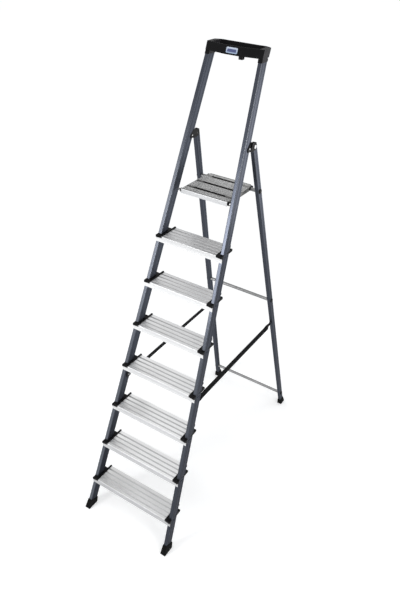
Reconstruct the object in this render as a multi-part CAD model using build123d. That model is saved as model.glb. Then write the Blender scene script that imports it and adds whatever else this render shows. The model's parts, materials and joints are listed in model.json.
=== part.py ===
from build123d import *
import math
import os

# Stance: the frames lean on each other and rest on the floor, z = 0
stile_lean = 20.06          # degrees back from upright
leg_lean = 16.86            # degrees forward from upright
front_reach = 731.0         # stile axes meet the floor this far ahead of the origin
rear_reach = 741.3          # leg axes meet the floor this far behind it
stile_half_floor = 276.3    # half the distance between the stile axes at the floor
stile_taper = 0.0552        # inward run of a stile per height
leg_half_floor = 269.8
leg_taper = 0.051

# Climbing levels
tread_count = 7
first_tread = 210.0         # height of the lowest tread's top
tread_rise = 235.0
platform_top = 1850.0

# Stiles
stile_width = 20.5
stile_depth = 54.0
stile_wall = 1.7
stile_corner = 3.0
stile_low = 14.0
stile_high = 2498.0
side_groove_width = 3.0
side_groove_depth = 0.7
side_groove_offset = 13.0

# Front boots
boot_half_width = 16.7
boot_toe = 36.5             # ahead of the stile axis at the floor
boot_heel = 33.0
boot_height = 45.0
boot_wall = 2.6
boot_edge = 1.5

# Treads
tread_front = 45.0          # ahead of the stile axis at the tread's height
tread_rear = 84.0           # behind it
tread_plate = 3.0
tread_skirt = 33.0
tread_rear_skirt = 20.0
tread_skin = 2.2
tread_nose = 2.6
tread_valleys = 4
valley_first = 21.0         # first valley's middle behind the front edge
valley_pitch = 27.5
valley_width = 9.0
valley_depth = 1.5
tread_gap = 25.0            # tread end to stile axis

# Connectors at the tread ends
connector_front = 49.0
connector_rear = 57.0
connector_tip = 86.0
connector_arm = 9.4         # width of the rear arm
cap_rise = 5.0              # top of the connector's cap above the tread
cap_drop = 9.0              # bottom of the cap below it
core_front = 42.3           # core behind the tread's skirt, ahead of the stile axis
core_rear = 15.0
core_drop = 25.0
connector_edge = 1.2
plug_length = 34.0          # pushed in under the tread
plug_height = 11.0
plug_clearance = 0.2

# Rivets and screws
rivet_radius = 2.6
rivet_head = 4.8
rivet_head_height = 1.8
rivet_round = 1.4
rivet_offsets = (-6.0, 6.0)
rivet_bite = 10.0           # length held in the far piece
rivet_drop = 17.0           # tread rivets below the tread's top
low_head = 1.0              # height of the flat heads on the stiles
low_round = 0.6
hole_clearance = 0.1
end_gap = 1.0               # room at the end of a blind hole

# Rear legs and their boots
leg_width = 22.0
leg_depth = 32.0
leg_wall = 1.7
leg_corner = 2.5
leg_low = 9.0
rear_boot_half_width = 15.6
rear_boot_half_depth = 26.2
rear_boot_height = 46.0
rear_boot_wall = 2.4

# Hinges
hinge_height = 2087.6
pin_radius = 4.0
running_clearance = 0.05
pivot_depth = 62.0          # pivot behind the stile axis, ahead of the leg's axis
head_radius = 12.0
tube_gap = 10.0             # end of the leg's tube below the hinge's level
head_rise = 15.0            # top of the leg's head above it
head_plug = 45.0
head_plug_clearance = 0.15
cheek = 3.0
slot_half = 12.0            # half width of the slot that the leg's head turns in
bracket_radius = 17.5
bracket_plate = 3.4         # beside the stile
bracket_front = [(20.0, 14.0), (5.0, -15.0), (2.0, -25.0), (10.0, -34.0)]
cheek_front = [(30.0, 15.0), (26.0, -22.0), (32.0, -30.0)]
bracket_web = 3.0
bracket_rivet = (17.5, -17.0)
pin_head = 10.0
pin_head_height = 2.6
pin_head_round = 1.8

# Cross braces, the bar under the platform and their end caps
brace_radius = 9.8
brace_wall = 1.6
upper_brace_height = 1055.0
lower_brace_height = 114.0
cap_radius = 12.5
cap_height = 4.0
cap_round = 2.0
cap_plug_radius = 7.2
cap_plug = 8.0

# Platform
platform_front = -59.0
platform_depth = 266.0
platform_half_width = 134.0
platform_plate = 3.0
platform_skirt = 24.0
platform_side_skirt = 21.0
platform_skin = 2.2
platform_nose = 3.4
corner_x = 12.0             # cut rear corners
corner_y = 32.0
pivot_inset = 12.0          # pivot rod behind the platform's front edge
pivot_drop = 12.5           # pivot rod under the platform's top
pivot_radius = 6.0
bush_radius = 10.5
bush_length = 8.0
rest_drop = 14.3            # rest rod under the platform's top
hook_inner = 123.0
hook_outer = 136.0
hook_front = 168.0
hook_rear = 204.5
hook_height = 19.0
hook_clearance = 0.8
hook_flare = 12.0           # forward run of the mouth's front wall
skirt_end = 167.0           # the side skirts stop ahead of the hooks
strip_width = 14.0
strip_depth = 1.6
strip_proud = 0.4
strip_half_length = 93.0
strip_rows = (52.5, 141.0, 229.5)

# Tool tray
tray_low = 2475.0
tray_height = 38.0
tray_wall = 3.0
tray_half_width = 152.0
tray_front = 118.5
tray_front_half = 36.0
tray_side_front = 141.5
tray_side_rear = 204.0
tray_back = 223.5
tray_back_half = 92.0
tray_bulge = 0.72           # how far the back corners bulge, as a share of their run
tray_end = 26.0             # thickness of the block around each stile
tray_corner = 5.0
socket_wall = 1.6
socket_drop = 17.0          # sockets below the tray, cut off level
screw_height = 2476.0
label_half_width = 29.5
label_height = 26.0
label_thickness = 1.0
hook_bar_width = 20.0
hook_bar = 6.0
hook_bar_drop = 35.0
hook_bar_front = 212.0
hook_bar_reach = 22.0
hook_bar_lip = 10.0

# Spreader straps
strap_front_height = 838.0
strap_rear_height = 844.0
strap_width = 25.0
strap_thickness = 2.0
strap_overhang = 14.0       # beyond the rivet at each end
strap_plate = 30.0
strap_plate_thickness = 2.4
strap_gap = 0.25
strap_stand_off = 2.1       # strap's middle to the frame's inner face
strap_rivet_offset = 8.0    # front rivet behind the stile axis
strap_hold = 18.0           # flat end beyond each rivet
strap_turn = -81.0          # degrees, the upper edge leans inward
strap_front_inset = 4.5     # how far the turned run lies inside the front rivets
strap_rear_inset = -4.5     # and inside the rear ones
strap_twist_run = 70.0      # length of each turn
strap_turns = 6             # steps in a turn
strap_hole_clearance = 0.5

across = Vector(1, 0, 0)
tan_stile = math.tan(math.radians(stile_lean))
tan_leg = math.tan(math.radians(leg_lean))
lean_axis = Vector(0, math.sin(math.radians(stile_lean)), math.cos(math.radians(stile_lean)))
lean_depth = Vector(0, lean_axis.Z, -lean_axis.Y)


def stile_point(height):
    return Vector(stile_half_floor - stile_taper * height, -front_reach + height * tan_stile, height)


def leg_point(height):
    return Vector(leg_half_floor - leg_taper * height, rear_reach - height * tan_leg, height)


stile_axis = (stile_point(1) - stile_point(0)).normalized()
leg_axis = (leg_point(1) - leg_point(0)).normalized()
hinge_level = (leg_point(hinge_height) - stile_point(0)).dot(lean_axis)
rest_point = leg_point(platform_top - rest_drop)
pivot_point = Vector(0, platform_front + pivot_inset, platform_top - pivot_drop)
leg_top = hinge_height - tube_gap * leg_axis.Z
brace_points = [leg_point(lower_brace_height), leg_point(upper_brace_height), rest_point]
tread_heights = [first_tread + tread_rise * step for step in range(tread_count)]


def hinge_side_point(depth, along):
    # Side view point given behind the stile axis and along it, from the hinge's level
    point = stile_point(0) + lean_axis * (hinge_level + along) + lean_depth * depth
    return point.Y, point.Z


hinge_point = Vector(leg_point(hinge_height).X, *hinge_side_point(pivot_depth, 0))
hinge_span = 2 * (slot_half + cheek)
bracket_grip = stile_width + 2 * bracket_plate


def section_plane(origin, axis):
    # Local z runs along the beam, local x across the ladder, local y through the beam's depth
    return Plane(origin=origin, x_dir=across - axis * axis.dot(across), z_dir=axis)


def stile_plane(height):
    return section_plane(stile_point(height), stile_axis)


def leg_plane(height):
    return section_plane(leg_point(height), leg_axis)


def rod(start, end, radius):
    # Round bar between two points
    run = end - start
    return extrude(Plane(origin=start, z_dir=run) * Circle(radius), run.length)


def crossbar(point, half_length, radius):
    # Round bar that runs straight across the ladder
    start = Vector(-half_length, point.Y, point.Z)
    return rod(start, Vector(half_length, point.Y, point.Z), radius)


def headed(face_point, outward, shank, radius, head, height, rounding):
    # Rivet, pin or screw: a round head on a face and a shank going in
    axis = outward.normalized()
    plane = Plane(origin=face_point, z_dir=axis)
    dome = extrude(plane * Circle(head), height)
    top = dome.faces().sort_by(Axis(origin=face_point, direction=axis))[-1]
    dome = fillet(top.edges(), rounding)
    return dome + extrude(plane * Circle(radius), -shank)


def rivet(face_point, outward, shank):
    return headed(face_point, outward, shank, rivet_radius, rivet_head, rivet_head_height, rivet_round)


def flat_rivet(face_point, outward, shank):
    return headed(face_point, outward, shank, rivet_radius, rivet_head, low_head, low_round)


def side_profile(points):
    # Closed outline in the plane seen from the side: pairs of y and z
    return Plane.YZ * make_face(Polyline(*points, close=True))


def slab(outline, x_from, x_to):
    # Side view outline given its thickness across the ladder
    return extrude(Pos(x_from, 0, 0) * outline, x_to - x_from, dir=across)


def tube_section(width, depth, wall, corner, groove_rows):
    # Rounded box section with shallow grooves along its sides
    outer = RectangleRounded(width, depth, corner)
    for side in (-1, 1):
        for row in groove_rows:
            outer -= Pos(side * width / 2, row) * Rectangle(2 * side_groove_depth, side_groove_width)
    return outer - RectangleRounded(width - 2 * wall, depth - 2 * wall, corner - wall)


def stile_run(section):
    return extrude(stile_plane(stile_low) * section, (stile_high - stile_low) / stile_axis.Z)


def leg_run(section):
    return extrude(leg_plane(leg_low) * section, (leg_top - leg_low) / leg_axis.Z)


stile_core = stile_run(RectangleRounded(stile_width, stile_depth, stile_corner))
leg_core = leg_run(RectangleRounded(leg_width, leg_depth, leg_corner))


# Rivets that hold a connector: on the stile's outer face, side by side through its depth
def tread_rivet_seats(height):
    plane = stile_plane(height - rivet_drop)
    seats = [plane.from_local_coords((stile_width / 2, offset, 0)) for offset in rivet_offsets]
    return [(Vector(seat), plane.x_dir) for seat in seats]


# Rivet that holds a hinge bracket on its stile: on the outer plate
def bracket_rivet_seats():
    depth, along = bracket_rivet
    plane = stile_plane((hinge_level + along) * lean_axis.Z)
    seat = plane.from_local_coords((stile_width / 2 + bracket_plate, depth, 0))
    return [(Vector(seat), plane.x_dir)]


# Screws that hold the tray: on the rear of each socket
def tray_screw_seats():
    plane = stile_plane(screw_height)
    return [(Vector(plane.from_local_coords((0, stile_depth / 2 + socket_wall, 0))), plane.y_dir)]


# Strap rivets: through plate and strap into the frame's inner face
def strap_ends():
    inward = -stile_width / 2 - strap_stand_off
    front = stile_point(strap_front_height) + Vector(inward, strap_rivet_offset, 0)
    rear = leg_point(strap_rear_height) + Vector(-leg_width / 2 - strap_stand_off, 0, 0)
    return front, rear


def strap_rivet_seat(end):
    lift = strap_thickness / 2 + strap_gap + strap_plate_thickness
    return end - across * lift, across * -1


def drilled(solid, seats, depth, clearance=hole_clearance):
    for seat, outward in seats:
        solid -= rod(seat, seat - outward * depth, rivet_radius + clearance)
    return solid


def make_stile():
    grooves = (-side_groove_offset, side_groove_offset)
    stile = stile_run(tube_section(stile_width, stile_depth, stile_wall, stile_corner, grooves))
    for height in tread_heights:
        stile = drilled(stile, tread_rivet_seats(height), stile_width + rivet_bite)
    stile = drilled(stile, bracket_rivet_seats(), bracket_grip)
    stile = drilled(stile, tray_screw_seats(), rivet_bite)
    stile = drilled(stile, [strap_rivet_seat(strap_ends()[0])], 2 * rivet_bite)
    return stile - crossbar(pivot_point, stile_half_floor, pivot_radius + hole_clearance)


def make_boot(sole, top, core):
    # Runs from a flat sole up to a collar around the tube
    boot = loft([sole, top])
    boot = chamfer(boot.faces().sort_by(Axis.Z)[0].edges(), boot_edge)
    return boot - core


def make_front_foot():
    middle = stile_point(0) + Vector(0, (boot_heel - boot_toe) / 2, 0)
    sole = Pos(middle) * Rectangle(2 * boot_half_width, boot_toe + boot_heel)
    collar = Rectangle(stile_width + 2 * boot_wall, stile_depth + 2 * boot_wall)
    return make_boot(sole, stile_plane(boot_height) * collar, stile_core)


def make_rear_foot():
    sole = Pos(leg_point(0)) * Rectangle(2 * rear_boot_half_width, 2 * rear_boot_half_depth)
    collar = Rectangle(leg_width + 2 * rear_boot_wall, leg_depth + 2 * rear_boot_wall)
    return make_boot(sole, leg_plane(rear_boot_height) * collar, leg_core)


def make_tread(height):
    middle = stile_point(height)
    front = middle.Y - tread_front
    rear = middle.Y + tread_rear
    low = height - tread_plate
    outline = side_profile([
        (front, height), (rear, height), (rear, height - tread_rear_skirt),
        (rear - tread_skin, height - tread_rear_skirt), (rear - tread_skin, low),
        (front + tread_skin, low), (front + tread_skin, height - tread_skirt),
        (front, height - tread_skirt),
    ])
    half = middle.X - tread_gap
    tread = slab(outline, -half, half)
    tread = fillet(tread.edges().filter_by(Axis.X).group_by(Axis.Z)[-1].sort_by(Axis.Y)[0], tread_nose)
    for row in range(tread_valleys):
        y = front + valley_first + row * valley_pitch
        tread -= Pos(0, y, height) * Box(2 * half, valley_width, 2 * valley_depth)
    low = height - tread_skirt
    high = height - cap_drop - plug_clearance
    wing = side_profile([(front, low), (front, high), (front + tread_skin, high), (front + tread_skin, low)])
    tread += slab(wing, -middle.X - stile_width / 2, -half)
    return tread + slab(wing, half, middle.X + stile_width / 2)


def make_connector(height):
    # Cap around the front, inner side and rear of the stile, a core below it and a plug under the tread
    base = stile_point(height)
    face = -tread_gap
    outside = stile_width / 2
    plan = [
        (outside, -connector_front), (face, -tread_front), (face, connector_tip),
        (face + connector_arm, connector_tip), (face + connector_arm, connector_rear),
        (outside, connector_rear),
    ]
    top = Pos(base + Vector(0, 0, cap_rise)) * make_face(Polyline(*plan, close=True))
    connector = extrude(top, -cap_rise - cap_drop)
    connector = chamfer(connector.faces().sort_by(Axis.Z)[-1].edges(), connector_edge)
    core_middle = base + Vector((face + outside) / 2, (core_rear - core_front) / 2, -core_drop / 2)
    connector += Pos(core_middle) * Box(outside - face, core_front + core_rear, core_drop)
    plug_depth = tread_front + tread_rear - 2 * tread_skin - 2 * plug_clearance
    plug_middle = Vector(
        base.X + face - plug_length / 2,
        base.Y + (tread_rear - tread_front) / 2,
        height - tread_plate - plug_clearance - plug_height / 2,
    )
    connector += Pos(plug_middle) * Box(plug_length, plug_depth, plug_height)
    connector -= stile_core
    return drilled(connector, tread_rivet_seats(height), stile_width + rivet_bite)


def make_tread_rivets():
    shank = stile_width + rivet_bite - end_gap
    seats = [seat for height in tread_heights for seat in tread_rivet_seats(height)]
    return [flat_rivet(seat, outward, shank) for seat, outward in seats]


def make_leg():
    leg = leg_run(tube_section(leg_width, leg_depth, leg_wall, leg_corner, (0,)))
    for point in brace_points:
        leg -= crossbar(point, leg_half_floor + leg_width, brace_radius + hole_clearance)
    return drilled(leg, [strap_rivet_seat(strap_ends()[1])], 2 * rivet_bite)


def make_leg_head():
    # Closes the leg's upper end, with a knuckle ahead of it that turns on the hinge pin
    section = RectangleRounded(leg_width, leg_depth, leg_corner)
    body = extrude(leg_plane(leg_top) * section, tube_gap + head_rise)
    knuckle_plane = Plane(origin=hinge_point, z_dir=leg_plane(hinge_height).x_dir)
    body += knuckle_plane * Cylinder(head_radius, leg_width)
    inset = 2 * (leg_wall + head_plug_clearance)
    plug = RectangleRounded(leg_width - inset, leg_depth - inset, leg_corner - leg_wall)
    body += extrude(leg_plane(leg_top) * plug, -head_plug)
    return body - crossbar(hinge_point, leg_half_floor, pin_radius + running_clearance)


def bracket_slab(front_corners):
    # From the round end about the hinge pin to the given front corners
    knuckle = Pos(hinge_point.Y, hinge_point.Z) * Circle(bracket_radius)
    front = Polyline(*[hinge_side_point(*corner) for corner in front_corners])
    outline = Plane.YZ * make_hull(knuckle.edges() + front.edges())
    return slab(outline, hinge_point.X - hinge_span / 2, hinge_point.X + hinge_span / 2)


def make_hinge_bracket():
    # Plates beside the stile's rear half, a web behind it and two cheeks beside the leg's head
    web = stile_depth / 2 + bracket_web
    far = web + 2 * stile_depth
    bracket = bracket_slab(bracket_front) & stile_run(Rectangle(bracket_grip, 2 * far))
    bracket += bracket_slab(cheek_front)
    slot = [(web, -far), (web, far), (far, far), (far, -far)]
    slot_outline = side_profile([hinge_side_point(*corner) for corner in slot])
    bracket -= slab(slot_outline, hinge_point.X - slot_half, hinge_point.X + slot_half)
    bracket -= stile_core
    bracket -= crossbar(hinge_point, leg_half_floor, pin_radius + hole_clearance)
    return drilled(bracket, bracket_rivet_seats(), bracket_grip)


def make_hinge_pin():
    # Head on the outer cheek, far end flush with the inner cheek
    start = hinge_point + across * (hinge_span / 2)
    return headed(start, across, hinge_span, pin_radius, pin_head, pin_head_height, pin_head_round)


def make_brace(point):
    half = point.X + leg_width / 2 - side_groove_depth - hole_clearance
    return crossbar(point, half, brace_radius) - crossbar(point, half, brace_radius - brace_wall)


def make_brace_caps():
    outward = leg_plane(0).x_dir
    seats = [point + outward * (leg_width / 2) for point in brace_points]
    sizes = (cap_plug, cap_plug_radius, cap_radius, cap_height, cap_round)
    return [headed(seat, outward, *sizes) for seat in seats]


def platform_plan():
    rear = platform_front + platform_depth
    right = [
        (0, platform_front), (platform_half_width, platform_front),
        (platform_half_width, rear - corner_y), (platform_half_width - corner_x, rear), (0, rear),
    ]
    half = make_face(Polyline(*right, close=True))
    return half + mirror(half, about=Plane.YZ)


def make_deck():
    plan = platform_plan()
    deck = extrude(Pos(0, 0, platform_top) * plan, -platform_skirt)
    deck = fillet(deck.edges().filter_by(Axis.X).group_by(Axis.Z)[-1].sort_by(Axis.Y)[0], platform_nose)
    hollow = offset(plan, -platform_skin)
    deck -= extrude(Pos(0, 0, platform_top - platform_plate) * hollow, -platform_skirt)
    low = platform_top - platform_skirt
    short = platform_skirt - platform_side_skirt
    trim_front = platform_front + platform_skin
    trim = Box(3 * platform_half_width, platform_depth, 2 * short)
    deck -= Pos(0, trim_front + platform_depth / 2, low) * trim
    mouth = platform_top - platform_plate - platform_skirt
    skirt_gap = platform_front + platform_depth - platform_skin - skirt_end
    notch = Box(platform_half_width - hook_inner + 2 * corner_x, skirt_gap, 2 * platform_skirt)
    for side in (-1, 1):
        middle = Vector(side * (hook_inner + platform_half_width) / 2, skirt_end + skirt_gap / 2, mouth)
        deck -= Pos(middle) * notch
    for row in strip_rows:
        groove = Box(2 * strip_half_length, strip_width, 2 * strip_depth)
        deck -= Pos(0, platform_front + row, platform_top) * groove
    return deck - crossbar(pivot_point, stile_half_floor, pivot_radius + running_clearance)


def make_strips():
    thickness = strip_depth + strip_proud
    z = platform_top - strip_depth + thickness / 2
    size = (2 * strip_half_length - 2 * plug_clearance, strip_width - 2 * plug_clearance, thickness)
    return [Pos(0, platform_front + row, z) * Box(*size) for row in strip_rows]


def make_platform_hook():
    # Block under the platform's rear corner whose mouth drops over the rest rod
    high = platform_top - platform_plate - plug_clearance
    low = high - hook_height
    block = side_profile([(hook_front, low), (hook_front, high), (hook_rear, high), (hook_rear, low)])
    hook = slab(block, hook_inner, hook_outer)
    seat = brace_radius + hook_clearance
    y = rest_point.Y
    z = rest_point.Z
    mouth = side_profile([(y - seat, z), (y + seat, z), (y + seat, low), (y - seat - hook_flare, low)])
    hook -= slab(mouth, hook_inner, hook_outer)
    return hook - crossbar(rest_point, leg_half_floor, seat)


def make_bush():
    start = pivot_point + across * platform_half_width
    bush = rod(start, start + across * bush_length, bush_radius)
    return bush - crossbar(pivot_point, stile_half_floor, pivot_radius + running_clearance)


def make_pivot_rod():
    half = stile_point(pivot_point.Z).X + stile_width / 2 - side_groove_depth
    return crossbar(pivot_point, half, pivot_radius)


def tray_plan():
    run_x = tray_half_width - tray_back_half
    run_y = tray_back - tray_side_rear
    bulge = (tray_back_half + run_x * tray_bulge, tray_side_rear + run_y * tray_bulge)
    front = Polyline(
        (0, tray_back), (0, tray_front), (tray_front_half, tray_front),
        (tray_half_width, tray_side_front), (tray_half_width, tray_side_rear),
    )
    corner = ThreePointArc((tray_half_width, tray_side_rear), bulge, (tray_back_half, tray_back))
    back = Line((tray_back_half, tray_back), (0, tray_back))
    half = make_face(front.edges() + corner.edges() + back.edges())
    return half + mirror(half, about=Plane.YZ)


def tray_run(plan, height):
    # Tray outline carried up along the lean of the stiles
    foot = Pos(0, (height - tray_low) * tan_stile, height)
    return extrude(foot * plan, tray_height / lean_axis.Z, dir=lean_axis)


def make_tray():
    # Open tray between two end blocks, each with a socket for a stile's upper end
    plan = tray_plan()
    tray = tray_run(plan, tray_low)
    inside = Pos(0, tray_back) * Rectangle(2 * (tray_half_width - tray_end), 2 * tray_back)
    space = tray_run(offset(plan, -tray_wall) & inside, tray_low + tray_wall)
    upright = Axis(origin=(0, 0, 0), direction=lean_axis)
    tray -= fillet(space.edges().filter_by(upright), tray_corner)
    socket = RectangleRounded(stile_width + 2 * socket_wall, stile_depth + 2 * socket_wall, stile_corner)
    sleeve_length = (stile_depth + tray_wall) / stile_axis.Z
    sleeve = extrude(stile_plane(tray_low - stile_depth) * socket, sleeve_length)
    sleeve = split(sleeve, bisect_by=Plane.XY.offset(tray_low - socket_drop), keep=Keep.TOP)
    tray += sleeve
    tray += mirror(sleeve, about=Plane.YZ)
    core = stile_core
    for seat, outward in tray_screw_seats():
        core += rod(seat, seat - outward * rivet_bite, rivet_radius + hole_clearance)
    return tray - core - mirror(core, about=Plane.YZ)


def make_label():
    # Flat film in the middle of the tray's leaning front panel
    panel = Vector(0, tray_front + tray_height / 2 * tan_stile, tray_low + tray_height / 2)
    plane = Plane(origin=panel, x_dir=across, z_dir=lean_depth * -1)
    return extrude(plane * Rectangle(2 * label_half_width, label_height), label_thickness)


def make_bucket_hook():
    front = hook_bar_front
    rear = front + hook_bar_reach
    low = tray_low - hook_bar_drop
    outline = side_profile([
        (front, tray_low), (front, low), (rear, low), (rear, low + hook_bar + hook_bar_lip),
        (rear - hook_bar, low + hook_bar + hook_bar_lip), (rear - hook_bar, low + hook_bar),
        (front + hook_bar, low + hook_bar), (front + hook_bar, tray_low),
    ])
    return slab(outline, -hook_bar_width / 2, hook_bar_width / 2)


def make_strap():
    # Flat on both frames at its ends, turned nearly level in between
    front, rear = strap_ends()
    run = (rear - front).normalized()
    length = (rear - front).length
    turns = [(-strap_overhang, 0)]
    for step in range(strap_turns + 1):
        share = step / strap_turns
        turns.append((strap_hold + share * strap_twist_run, share))
    stations = [(along, share, strap_front_inset) for along, share in turns]
    stations += [(length - along, share, strap_rear_inset) for along, share in reversed(turns)]
    sections = []
    for along, share, inset in stations:
        middle = front + run * along - across * (inset * share)
        plane = Plane(origin=middle, x_dir=Vector(0, 0, 1), z_dir=run)
        sections.append(plane * Rot(0, 0, strap_turn * share) * Rectangle(strap_width, strap_thickness))
    strap = loft(sections, ruled=True)
    for end in (front, rear):
        reach = across * strap_width
        strap -= rod(end - reach, end + reach, rivet_radius + strap_hole_clearance)
    return strap


def make_strap_plate(end):
    seat, outward = strap_rivet_seat(end)
    middle = seat - outward * (strap_plate_thickness / 2)
    plate = Pos(middle) * Box(strap_plate_thickness, strap_plate, strap_plate)
    return drilled(plate, [(seat, outward)], rivet_bite)


def make_strap_rivet(end):
    seat, outward = strap_rivet_seat(end)
    return rivet(seat, outward, rivet_bite)


def pair(name, solid):
    return {"left_" + name: mirror(solid, about=Plane.YZ), "right_" + name: solid}


def both_sides(solids):
    halves = solids + [mirror(solid, about=Plane.YZ) for solid in solids]
    return Compound([piece for half in halves for piece in half.solids()])


def make_nodes():
    front_end, rear_end = strap_ends()
    nodes = {}
    nodes.update(pair("stile", make_stile()))
    nodes.update(pair("front_foot", make_front_foot()))
    for step, height in enumerate(tread_heights, start=1):
        nodes["tread_%d" % step] = make_tread(height)
        nodes.update(pair("connector_%d" % step, make_connector(height)))
    nodes["tread_rivets"] = both_sides(make_tread_rivets())
    nodes["tool_tray"] = make_tray()
    screws = [rivet(seat, outward, rivet_bite - end_gap) for seat, outward in tray_screw_seats()]
    nodes["tray_screws"] = both_sides(screws)
    nodes["tray_label"] = make_label()
    nodes["bucket_hook"] = make_bucket_hook()
    nodes.update(pair("hinge_bracket", make_hinge_bracket()))
    saddle_rivets = [rivet(seat, outward, bracket_grip) for seat, outward in bracket_rivet_seats()]
    nodes["bracket_rivets"] = both_sides(saddle_rivets)
    nodes["hinge_pins"] = both_sides([make_hinge_pin()])
    nodes["platform_pivot_rod"] = make_pivot_rod()
    nodes.update(pair("strap", make_strap()))
    nodes["front_strap_plates"] = both_sides([make_strap_plate(front_end)])
    nodes["front_strap_rivets"] = both_sides([make_strap_rivet(front_end)])
    nodes.update(pair("rear_leg", make_leg()))
    nodes.update(pair("leg_head", make_leg_head()))
    nodes.update(pair("rear_foot", make_rear_foot()))
    names = ("lower_cross_brace", "upper_cross_brace", "platform_rest_rod")
    for name, point in zip(names, brace_points):
        nodes[name] = make_brace(point)
    nodes["brace_end_caps"] = both_sides(make_brace_caps())
    nodes["rear_strap_plates"] = both_sides([make_strap_plate(rear_end)])
    nodes["rear_strap_rivets"] = both_sides([make_strap_rivet(rear_end)])
    nodes["platform_deck"] = make_deck()
    nodes["platform_strips"] = Compound([solid for strip in make_strips() for solid in strip.solids()])
    nodes.update(pair("platform_hook", make_platform_hook()))
    nodes["platform_bushes"] = both_sides([make_bush()])
    return nodes


os.makedirs("parts", exist_ok=True)
for name, node in make_nodes().items():
    export_step(node, "parts/%s.step" % name)
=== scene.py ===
import json
import math
import bmesh
import bpy
from mathutils import Euler, Matrix, Vector


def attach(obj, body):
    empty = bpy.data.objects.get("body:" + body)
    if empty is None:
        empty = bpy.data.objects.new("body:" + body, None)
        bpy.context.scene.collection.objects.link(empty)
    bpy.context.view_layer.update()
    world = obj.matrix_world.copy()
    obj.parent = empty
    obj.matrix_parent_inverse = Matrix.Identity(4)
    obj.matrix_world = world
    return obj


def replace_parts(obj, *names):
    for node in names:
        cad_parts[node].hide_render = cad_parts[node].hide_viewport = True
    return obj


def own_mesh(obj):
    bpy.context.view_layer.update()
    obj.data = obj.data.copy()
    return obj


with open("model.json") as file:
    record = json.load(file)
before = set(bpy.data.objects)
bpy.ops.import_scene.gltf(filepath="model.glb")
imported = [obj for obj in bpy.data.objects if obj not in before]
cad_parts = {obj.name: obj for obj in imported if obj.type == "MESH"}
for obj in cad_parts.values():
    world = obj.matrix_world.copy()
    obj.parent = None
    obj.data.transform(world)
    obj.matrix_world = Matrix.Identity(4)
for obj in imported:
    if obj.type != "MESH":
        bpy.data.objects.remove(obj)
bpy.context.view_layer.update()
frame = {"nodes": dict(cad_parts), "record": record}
nodes = frame["nodes"]
record = frame["record"]
scene = bpy.context.scene
scene.view_settings.view_transform = "Standard"
print("frame loaded:", len(nodes), "nodes")

# what several pieces share, for the right side; the left one is its mirror image
ladder = {
    "stileFoot": (0.2763, -0.731, 0.0),
    "stileRun": (-0.0552, 0.36516, 1.0),  # per metre of height
    "stileFront": (0.0, -0.94, 0.34),  # the way that its front looks
    "legRun": (-0.051, -0.30308, 1.0),
    "firstTread": 0.21,
    "treadRise": 0.235,
    "treadCount": 7,
}


def flipped(run):
    return (-run[0], run[1], run[2])


# camera, at the photograph's station point
shot = {
    "place": (1.414, -2.392, 3.0456),
    "right": (0.8411, 0.5392, 0.0424),
    "up": (-0.3291, 0.448, 0.8312),
    "lens": 35.738,
    "sensor": 36.0,
    "clipEnd": 60.0,
}


def makeCamera():
    data = bpy.data.cameras.new("photoCamera")
    data.lens = shot["lens"]
    data.sensor_width = shot["sensor"]
    data.clip_end = shot["clipEnd"]
    camera = bpy.data.objects.new("photoCamera", data)
    right = Vector(shot["right"]).normalized()
    up = Vector(shot["up"])
    up = (up - right * up.dot(right)).normalized()
    turn = Matrix((right, up, right.cross(up))).transposed()
    camera.matrix_world = Matrix.Translation(shot["place"]) @ turn.to_4x4()
    scene.collection.objects.link(camera)
    scene.camera = camera


makeCamera()


# studio: soft lamps, white surroundings, pale floor that keeps the shadow
studio = {
    "floorSize": 60.0,
    "floorLevel": -0.0005,
    "floorColour": (0.9, 0.9, 0.9),
    # added for what looks at the floor, near and far, so that it reads white
    "floorLift": (0.31, 0.46),
    "floorReach": (1.2, 7.0),
    "worldColour": (0.97, 0.985, 1.0),
    "worldLight": 0.62,
    "lamps": [
        # name, place, aim, size, watts
        ("frontBox", (-1.75, -4.3, 2.3), (0.15, -0.2, 1.6), (0.8, 1.5), 62.0),
        ("sideBox", (2.05, 3.4, 1.0), (0.1, 0.1, 2.1), (1.2, 1.8), 18.0),
        ("edgeBox", (4.2, -1.8, 2.9), (0.15, 0.0, 2.0), (1.2, 1.2), 32.0),
        ("topBox", (0.4, -0.8, 5.6), (0.0, 0.0, 1.0), (3.0, 3.0), 50.0),
    ],
}
# of a Map Range node
rangeSockets = ("From Min", "From Max", "To Min", "To Max")


def seenShare(tree):
    # 1 for camera, glossy and transmission rays, 0 for the light that falls on the ladder
    path = tree.nodes.new("ShaderNodeLightPath")
    first = tree.nodes.new("ShaderNodeMath")
    first.operation = "MAXIMUM"
    second = tree.nodes.new("ShaderNodeMath")
    second.operation = "MAXIMUM"
    tree.links.new(path.outputs["Is Camera Ray"], first.inputs[0])
    tree.links.new(path.outputs["Is Glossy Ray"], first.inputs[1])
    tree.links.new(first.outputs[0], second.inputs[0])
    tree.links.new(path.outputs["Is Transmission Ray"], second.inputs[1])
    return second.outputs[0]


def makeWorld():
    world = bpy.data.worlds.new("studioWorld")
    scene.world = world
    world.use_nodes = True
    tree = world.node_tree
    tree.nodes.clear()
    out = tree.nodes.new("ShaderNodeOutputWorld")
    lit = tree.nodes.new("ShaderNodeBackground")
    lit.inputs["Color"].default_value = (*studio["worldColour"], 1.0)
    lit.inputs["Strength"].default_value = studio["worldLight"]
    white = tree.nodes.new("ShaderNodeBackground")
    white.inputs["Color"].default_value = (1.0, 1.0, 1.0, 1.0)
    mix = tree.nodes.new("ShaderNodeMixShader")
    tree.links.new(seenShare(tree), mix.inputs[0])
    tree.links.new(lit.outputs[0], mix.inputs[1])
    tree.links.new(white.outputs[0], mix.inputs[2])
    tree.links.new(mix.outputs[0], out.inputs["Surface"])


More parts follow.
